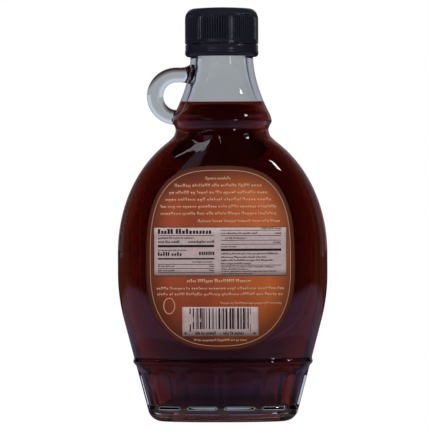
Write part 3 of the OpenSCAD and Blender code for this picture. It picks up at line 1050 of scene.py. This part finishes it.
class LabelPrint:
    """The print of a label, line by line, in millimetres from the jug's middle and base."""

    text_pitch = 2.88

    def __init__(self, seed):
        self.chance = random.Random(seed)

    def lines(self, *rows):
        """Lines of small print, each (left, right, height, size) and its weight if that isn't plain."""
        return [small_print(self.chance, *(value * MM for value in row[:4]), *row[4:]) for row in rows]

    def field(self, left, right, low, high):
        return patch(left * MM, right * MM, low * MM, high * MM)

    def rules(self, left, right, thickness, *heights):
        return [self.field(left, right, z - thickness / 2, z + thickness / 2) for z in heights]

    def story(self):
        """Pale lines above and below the facts panel."""
        heading = enumerate((5.1, 17.8, 20.1, 21.7, 23.7, 23.7))
        marks = self.lines(
            *((-0.7 - half, -0.7 + half, 100.3 - row * self.text_pitch, 1.75) for row, half in heading),
            (-8.9, 24.6, 82.8, 1.6),
            (-13.6, 12.6, 58.2, 1.9, 0.32),
            (-26.2, 26.0, 55.2, 1.6),
            (-26.0, 25.6, 52.8, 1.6),
            (0.2, 25.0, 49.2, 1.2),
            (-10.8, 10.8, 34.0, 1.2),
        )
        marks.append(hoop(-21.0 * MM, 48.1 * MM, 2.1 * MM, 3.0 * MM, 0.4 * MM))
        return marks

    def fields(self):
        """Pale fields of the facts panel and the bar code."""
        return [self.field(-27.4, 27.4, 60.4, 80.5), self.field(-15.6, 15.6, 35.7, 47.7)]

    def facts(self):
        """Dark print of the facts panel and the bar code."""
        left, middle, start, right = -25.6, -2.3, 0.5, 25.1
        thin, thick, bold = 0.22, 0.95, 0.34
        marks = self.lines(
            (left, -3.5, 78.5, 2.5, 0.36),
            (left, -10.9, 76.0, 1.0),
            (left, -16.7, 74.4, 1.2, bold),
            (-13.0, middle, 74.4, 1.2, bold),
            (left, -13.8, 71.0, 0.9),
            (left, -15.8, 69.3, 1.9, 0.36),
            (-8.5, middle, 69.8, 2.6, 0.36),
            (-11.3, -3.1, 66.2, 0.8),
            (16.9, right, 79.9, 0.8),
            (start, 15.3, 77.9, 1.0),
            (22.7, right, 77.9, 1.0),
            (2.2, 10.8, 75.9, 0.9),
            (21.9, 24.8, 74.2, 0.9),
            (start, 6.7, 72.4, 0.9),
        )
        marks += self.rules(left, middle, thin, 77.0, 65.2, 63.5, 61.9)
        marks += self.rules(start, right, thin, 79.1, 76.9, 75.0, 73.4, 64.8)
        marks += self.rules(left, middle, thick, 72.7)
        marks += self.rules(left, middle, 0.6, 67.5)
        marks += self.rules(start, right, thick, 71.1)
        for height in (64.4, 62.7):
            marks += self.lines((left, -18.7, height, 0.85), (-4.4, middle, height, 0.85))
        for height, end in ((69.5, 23.9), (68.1, 19.0), (66.8, 21.9), (65.5, 12.8)):
            marks += self.lines((start, end, height, 0.85, bold))
        for height, end in ((64.1, 22.3), (63.2, 11.6), (62.3, 23.1), (61.3, 13.3)):
            marks += self.lines((start, end, height, 0.65, bold))
        marks += self.rules(-27.4, 27.4, 0.2, 60.5, 80.4)
        marks += [self.field(side - 0.1, side + 0.1, 60.6, 80.3) for side in (-27.3, 27.3)]
        marks.append(bars(self.chance, -12.6 * MM, 12.5 * MM, 38.6 * MM, 47.2 * MM))
        for low, high in ((-14.9, -13.9), (-10.4, -1.9), (1.2, 9.6), (13.5, 14.5)):
            marks += self.lines((low, high, 36.9, 1.7))
        return marks

    def banner(self):
        """Pale heading and lines of the other label."""
        return (
            self.lines((-15, 15, 95.0, 2.4, 0.3), (-22, 22, 84.0, 6.5, 0.3), (-17, 17, 73.0, 5.0, 0.3))
            + self.rules(-20, 20, 0.4, 66.0)
            + self.lines((-20, 20, 61.5, 1.8), (-18, 18, 58.5, 1.8))
            + self.rules(-20, 20, 0.4, 54.0)
            + self.lines((-11, 11, 44.0, 1.8), (-8, 8, 40.5, 1.4))
        )


class JUG_OT_labels(bpy.types.Operator):
    """Stick one oval label on each broad face"""

    bl_idname = "jug.labels"
    bl_label = "Labels"

    def execute(self, context):
        scene = context.scene
        outline = Outline(scene.jug_flask)
        paper = label_material(scene.jug_colours)
        for side, node in (("back", "label_back"), ("front", "label_front")):
            sheet = label_sheet("paper_" + side, outline, scene.jug_label)
            if side == "front":
                turn_to_front(sheet)
            settle(sheet)
            fit_out(sheet, paper, "label_paper", node)
        return {"FINISHED"}


class JUG_OT_print(bpy.types.Operator):
    """Print the labels with made-up text, a facts table and a bar code"""

    bl_idname = "jug.print"
    bl_label = "Label print"

    def execute(self, context):
        scene = context.scene
        outline = Outline(scene.jug_flask)
        shades = scene.jug_colours
        pale = print_material("pale_print", tuple(shades.print_pale))
        panel = print_material("pale_panel", tuple(shades.panel))
        ink = print_material("dark_print", tuple(shades.ink))
        text, heading = LabelPrint(5), LabelPrint(8)
        lift = scene.jug_label.lift
        for name, marks, shade, up in (
            ("story_print", text.story(), pale, 0.02),
            ("panel_print", text.fields(), panel, 0.02),
            ("facts_print", text.facts(), ink, 0.05),
        ):
            piece = print_on(name, marks, outline, lift + up * MM)
            settle(piece)
            fit_out(piece, shade, "label_paper")
        banner = print_on("banner_print", heading.banner(), outline, lift + 0.02 * MM)
        turn_to_front(banner)
        settle(banner)
        fit_out(banner, pale, "label_paper")
        return {"FINISHED"}


def turn_to_front(piece):
    """Turns a piece made for the -Y face round to the +Y face."""
    activate(piece)
    piece.rotation_euler = (0, 0, math.pi)
    bpy.ops.object.transform_apply(location=True, rotation=True, scale=True)


# ---- Stage ---------------------------------------------------------------------------------


def toward(azimuth, elevation):
    """A direction from the jug. Azimuth is counted from -Y, to the right of the broad face."""
    a, e = math.radians(azimuth), math.radians(elevation)
    return Vector((math.sin(a) * math.cos(e), -math.cos(a) * math.cos(e), math.sin(e)))


def area_light(name, middle, azimuth, elevation, distance, size, power, shade=(1, 1, 1), seen=True):
    """A soft light aimed at a place on the jug. A light that isn't seen gives no reflection of itself."""
    data = bpy.data.lights.new(name, "AREA")
    data.shape = "RECTANGLE"
    data.size, data.size_y = size
    data.energy = power
    data.color = shade
    light = bpy.data.objects.new(name, data)
    way = toward(azimuth, elevation)
    light.location = Vector(middle) * MM + way * distance
    light.rotation_mode = "QUATERNION"
    light.rotation_quaternion = way.to_track_quat("Z", "Y")
    light.visible_camera = False
    light.visible_glossy = seen
    light.visible_transmission = False
    bpy.context.scene.collection.objects.link(light)
    return light


def long_light(name, middle, start, end, distance, width, brightness, shade=(1, 1, 1)):
    """A long thin light between two directions from a place on the jug, and aimed at that place."""
    first, last = toward(*start) * distance, toward(*end) * distance
    reach = (last - first).length
    light = area_light(name, middle, 0, 0, 1, (width, reach), brightness * math.pi * width * reach, shade)
    along = (last - first).normalized()
    back = (first + last).normalized()
    across = along.cross(back).normalized()
    light.location = Vector(middle) * MM + (first + last) / 2
    light.rotation_quaternion = Matrix((across, along, back)).transposed().to_quaternion()


class JUG_OT_stage(bpy.types.Operator):
    """Set the pale floor, the soft lights and the camera"""

    bl_idname = "jug.stage"
    bl_label = "Stage"

    def execute(self, context):
        scene = context.scene
        deselect()
        bpy.ops.mesh.primitive_plane_add(size=60, location=(0, 0, 0))
        floor = context.object
        floor.name = "floor"
        floor.data.materials.append(floor_material())
        self.add_low_wall()
        self.add_world(scene)
        self.add_lights()
        scene.view_settings.view_transform = "Standard"
        scene.view_settings.look = "None"
        self.add_camera(scene)
        return {"FINISHED"}

    def add_low_wall(self):
        """A low brown wall round the jug, which only shows through the thick glass of its foot. It is painted
        shade, a dark sheet that stands for the shade seen through the foot.
        """
        bpy.ops.mesh.primitive_cylinder_add(
            vertices=64, radius=90 * MM, depth=18 * MM, end_fill_type="NOTHING", location=(0, 0, 9 * MM)
        )
        wall = bpy.context.object
        wall.name = "low_wall"
        wall.data.materials.append(foot_shade_wall_material())
        wall.visible_camera = wall.visible_glossy = wall.visible_diffuse = wall.visible_shadow = False

    def add_world(self, scene):
        """White to the camera. The glass shows a bright studio through itself and mirrors a dim one."""
        world = bpy.data.worlds.new("studio")
        world.use_nodes = True
        scene.world = world
        nodes = NodeTree(world.node_tree)
        aim = nodes.parts("Generated")["Y"]

        def along_y(low, high, near, far):
            """A colour that goes from near to far as the direction turns from low to high along +Y."""
            return nodes.mix(nodes.span(aim, low, high, interpolation_type="SMOOTHSTEP"), near, far)

        black = (0.008, 0.008, 0.010)
        through = along_y(0.86, 0.985, (0.62, 0.68, 0.80), (0.40, 0.425, 0.44))
        mirrored_outside = along_y(0.72, 0.92, black, (0.30, 0.22, 0.23))
        mirrored_inside = along_y(0.54, 0.86, black, (0.42, 0.44, 0.50))
        shade = nodes.mix(nodes.thrown_back(5, 1), through, mirrored_inside)
        shade = nodes.white_to_camera(nodes.mix(nodes.thrown_back(0), shade, mirrored_outside))
        nodes.tree.links.new(shade, nodes.tree.nodes["Background"].inputs["Color"])

    def add_lights(self):
        """The lights that show in the glass, then the ones that only fill."""
        area_light("strip_right", (4, -14, 150), 34, 7, 0.95, (0.08, 0.22), 0.45, (0.85, 0.9, 1))
        area_light("softbox_left", (-13, -19, 106), -30, 15, 1.1, (0.4, 0.3), 0.16, (0.8, 0.75, 1))
        area_light("dash_right", (23, -16, 105), 69, 36.5, 1.0, (0.1, 0.06), 0.4)
        tube = ((0, 12.5), (-24, 17), (-34, 22), (-53, 31), (-70, 35))
        for start, end in zip(tube, tube[1:]):
            long_light("tube_left", (-10, -19, 114), start, end, 1.0, 0.012, 2.6, (0.88, 0.9, 1))
        area_light("front_fill", (0, 0, 80), -8, 35, 1.2, (0.8, 0.8), 5, seen=False)
        area_light("back_fill", (0, 0, 80), 172, 35, 1.2, (0.8, 0.8), 5, seen=False)

    def add_camera(self, scene):
        """A long lens, level with the middle of the jug and a few degrees round to its right."""
        distance, azimuth, roll = 1.8, math.radians(3), math.radians(-0.24)
        seen_width = 178.4 * MM
        data = bpy.data.cameras.new("camera")
        data.sensor_width = 36
        data.lens = data.sensor_width * distance / seen_width
        data.clip_start, data.clip_end = 0.05, 50
        camera = bpy.data.objects.new("camera", data)
        back = Vector((math.sin(azimuth), -math.cos(azimuth), 0))
        right = Vector((math.cos(azimuth), math.sin(azimuth), 0))
        camera.location = right * -3.07 * MM + back * distance + Vector((0, 0, 85.4 * MM))
        camera.rotation_mode = "QUATERNION"
        camera.rotation_quaternion = back.to_track_quat("Z", "Y") @ Quaternion((0, 0, 1), roll)
        scene.collection.objects.link(camera)
        scene.camera = camera


# ---- Add-on --------------------------------------------------------------------------------


class JUG_PT_panel(bpy.types.Panel):
    """Lists the jug's pieces and sizes"""

    bl_label = "Syrup Jug"
    bl_space_type = "VIEW_3D"
    bl_region_type = "UI"
    bl_category = "Syrup Jug"

    def draw(self, context):
        for operator in OPERATORS:
            self.layout.operator(operator.bl_idname)
        for name in SETTINGS:
            group = getattr(context.scene, name)
            column = self.layout.column()
            for key in group.__annotations__:
                column.prop(group, key)


SETTINGS = {
    "jug_flask": JugFlask,
    "jug_closure": JugClosure,
    "jug_label": JugLabel,
    "jug_colours": JugColours,
}
OPERATORS = (JUG_OT_flask, JUG_OT_syrup, JUG_OT_cap, JUG_OT_band, JUG_OT_labels, JUG_OT_print, JUG_OT_stage)


def register():
    for cls in (*SETTINGS.values(), *OPERATORS, JUG_PT_panel):
        bpy.utils.register_class(cls)
    for key, group in SETTINGS.items():
        setattr(bpy.types.Scene, key, bpy.props.PointerProperty(type=group))


def unregister():
    for key in SETTINGS:
        delattr(bpy.types.Scene, key)
    for cls in reversed((*SETTINGS.values(), *OPERATORS, JUG_PT_panel)):
        bpy.utils.unregister_class(cls)


def main():
    register()
    bpy.ops.jug.flask()
    bpy.ops.jug.syrup()
    bpy.ops.jug.cap()
    bpy.ops.jug.band()
    bpy.ops.jug.labels()
    bpy.ops.jug.print()
    bpy.ops.jug.stage()


if __name__ == "__main__":
    main()
